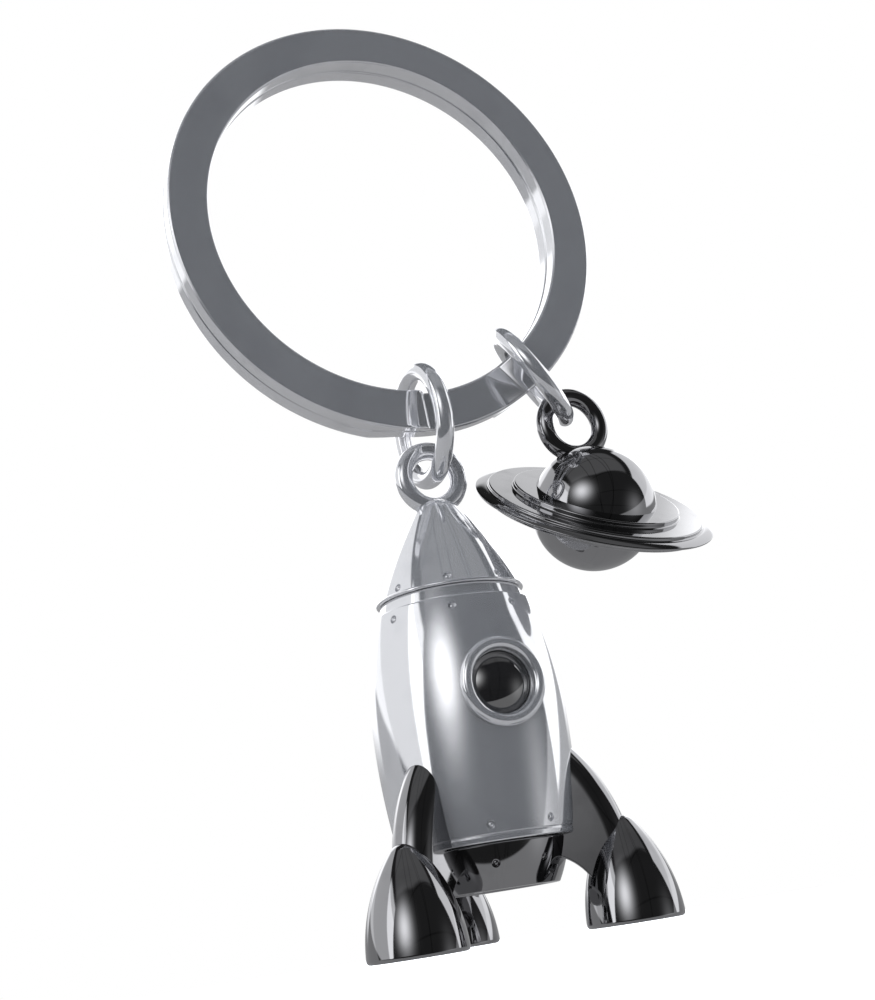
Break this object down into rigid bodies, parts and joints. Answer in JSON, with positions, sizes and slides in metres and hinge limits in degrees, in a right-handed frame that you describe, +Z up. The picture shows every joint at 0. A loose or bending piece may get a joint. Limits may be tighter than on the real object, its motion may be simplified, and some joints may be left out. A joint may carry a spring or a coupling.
{
  "type": "key ring charm",
  "caption": "Flat split key ring with a polished metal rocket charm and a ringed planet charm, each hung on its own jump ring.",
  "frame": {"origin": "centre of the split ring", "axes": "+Z up with the ring hanging, -Y toward the rocket's porthole, +X toward the planet charm"},
  "size_m": [0.0413, 0.0209, 0.0729],
  "materials": {
    "nickel": "bright polished nickel plate",
    "black_nickel": "polished black nickel plate",
    "lens": "polished opaque black glass"
  },
  "bodies": {
    "key_ring": {"split_ring": "nickel"},
    "rocket_link": {"jump_ring_rocket": "nickel"},
    "rocket": {"rocket_eyelet": "nickel", "nose_cone": "nickel", "nose_rivets": "nickel", "collar": "nickel", "hull": "nickel", "hull_upper_rivets": "nickel", "hull_lower_rivets": "nickel", "porthole_bezel": "nickel", "porthole_lens": "lens", "nozzle": "black_nickel", "nozzle_rivets": "black_nickel", "fin_left": "black_nickel", "fin_right": "black_nickel", "fin_back": "black_nickel", "foot_left": "black_nickel", "foot_right": "black_nickel", "foot_back": "black_nickel"},
    "planet_link": {"jump_ring_planet": "nickel"},
    "planet": {"planet_globe": "black_nickel", "planet_ring": "black_nickel", "planet_eyelet": "black_nickel"}
  },
  "joints": [
    {"name": "rocket_link_swing", "type": "hinge", "parent": "key_ring", "child": "rocket_link", "pos_m": [0.00078, 0, -0.01591], "axis": [0.9988, 0, 0.0489], "range_deg": [-25, 25]},
    {"name": "rocket_swing", "type": "hinge", "parent": "rocket_link", "child": "rocket", "pos_m": [0.00082, 0, -0.02109], "axis": [0, 1, 0], "range_deg": [-5, 35]},
    {"name": "planet_link_swing", "type": "hinge", "parent": "key_ring", "child": "planet_link", "pos_m": [0.01034, 0, -0.01211], "axis": [0.7604, 0, 0.6494], "range_deg": [-25, 25]},
    {"name": "planet_swing", "type": "hinge", "parent": "planet_link", "child": "planet", "pos_m": [0.0137, 0, -0.01699], "axis": [0, 1, 0], "range_deg": [-35, 5]}
  ]
}
